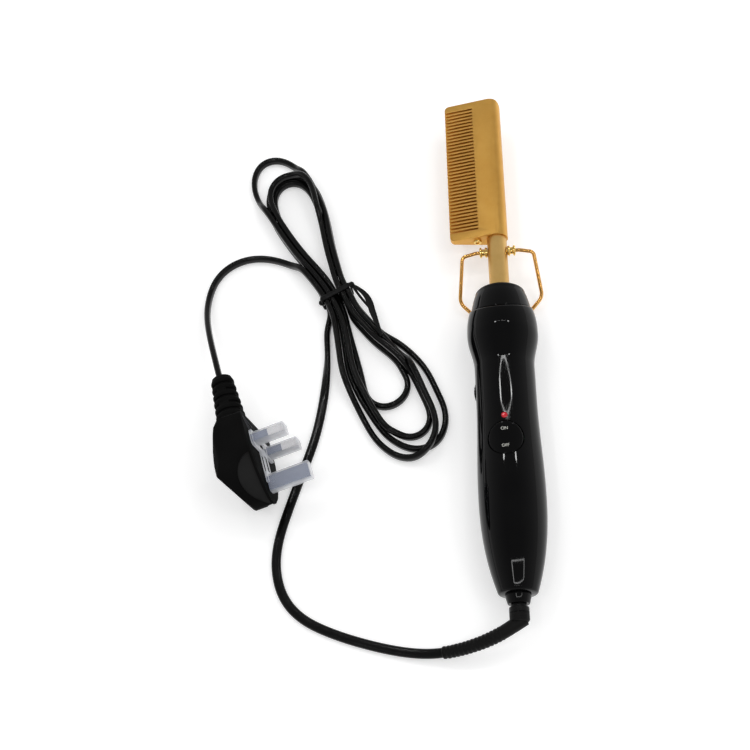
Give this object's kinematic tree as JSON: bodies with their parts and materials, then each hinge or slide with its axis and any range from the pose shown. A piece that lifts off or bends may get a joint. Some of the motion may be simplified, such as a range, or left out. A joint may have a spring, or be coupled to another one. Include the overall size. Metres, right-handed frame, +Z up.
{
  "type": "electric hot comb",
  "caption": "Corded electric hot comb with a slotted gold comb head, round black handle, folding wire stand, swivel cord and sleeved mains plug.",
  "frame": {"origin": "on the floor plane, under the middle of the box around the tool without its cord and plug", "axes": "+Z up from the floor the tool lies on, +Y from the handle's tail towards the comb head's tip, +X to the right of the handle seen from above, away from the teeth"},
  "size_m": [0.1955, 0.3234, 0.0463],
  "materials": {
    "head_gold": "satin gold anodised or lacquered metal",
    "shaft_gold": "brushed, duller gold",
    "stand_gold": "polished gold-coloured wire",
    "bright_brass": "turned and polished",
    "steel": "plain",
    "ceramic": "matt",
    "lead_insulation": "woven heat-resistant sleeving",
    "black_gloss": "glossy moulded",
    "black_matte": "moulded, fine grain",
    "grey_plastic": "moulded",
    "red_lens": "clear red, unlit",
    "board_green": "solder mask",
    "capacitor_film": "boxed film capacitor",
    "black_rubber": "semi-matt flexible moulding",
    "plug_black": "moulded, semi-matt",
    "pin_metal": "nickel-bright pin tip",
    "pin_grey": "blue-grey moulded",
    "clear_cover": "translucent thin moulding"
  },
  "bodies": {
    "tool": {"comb_head": "head_gold", "head_screw": "bright_brass", "heater_cartridge": "steel", "temperature_sensor": "ceramic", "heater_leads": "lead_insulation", "lead_sleeve": "lead_insulation", "shaft_tube": "shaft_gold", "left_pivot_bush": "bright_brass", "right_pivot_bush": "bright_brass", "front_collar": "black_gloss", "insulating_flange": "ceramic", "handle_top_shell": "black_gloss", "handle_bottom_shell": "black_gloss", "handle_screws": "steel", "button_frame": "grey_plastic", "power_switch": "grey_plastic", "lamp_lens": "red_lens", "lamp_led": "red_lens", "potentiometer": "grey_plastic", "circuit_board": "board_green", "power_transistor": "black_matte", "capacitor": "capacitor_film", "thermal_fuse": "steel", "tail_ring": "black_gloss", "slip_ring_holder": "grey_plastic", "contact_springs": "bright_brass", "mains_leads": "lead_insulation", "cord_boot": "black_rubber", "cord_handle_side": "black_rubber", "cord_hank": "black_rubber", "cord_tie": "black_rubber", "cord_plug_side": "black_rubber", "plug_relief": "black_rubber", "plug_body": "plug_black", "live_pin": "pin_metal", "neutral_pin": "pin_metal", "earth_pin": "pin_grey", "live_pin_sleeve": "pin_grey", "neutral_pin_sleeve": "pin_grey", "plug_fuse": "ceramic", "fuse_carrier": "plug_black", "fuse_clips": "bright_brass"},
    "stand": {"stand_wire": "stand_gold"},
    "button": {"power_button": "black_gloss", "button_pin": "steel"},
    "wheel": {"temperature_wheel": "black_matte"},
    "swivel": {"swivel_barrel": "black_gloss", "slip_rings": "bright_brass"},
    "cover": {"pin_cover": "clear_cover"}
  },
  "joints": [
    {"name": "stand_swing", "type": "hinge", "parent": "tool", "child": "stand", "pos_m": [0.00115, 0.05208, 0.02016], "axis": [1, 0, 0], "range_deg": [-1, 124]},
    {"name": "button_rock", "type": "hinge", "parent": "tool", "child": "button", "pos_m": [0.00015, -0.06632, 0.02942], "axis": [-1, 0, 0], "range_deg": [0, 6]},
    {"name": "wheel_turn", "type": "hinge", "parent": "tool", "child": "wheel", "pos_m": [-0.00125, -0.03341, 0.01854], "axis": [0, -0.019, 0.9998], "range_deg": [0, 280]},
    {"name": "cord_swivel", "type": "hinge", "parent": "tool", "child": "swivel", "pos_m": [0.00115, -0.14789, 0.01637], "axis": [0, 0.9998, 0.019], "continuous": true},
    {"name": "cover_pull", "type": "slide", "parent": "tool", "child": "cover", "axis": [0.9605, 0.252, 0.1184], "range_m": [0, 0.025]}
  ]
}
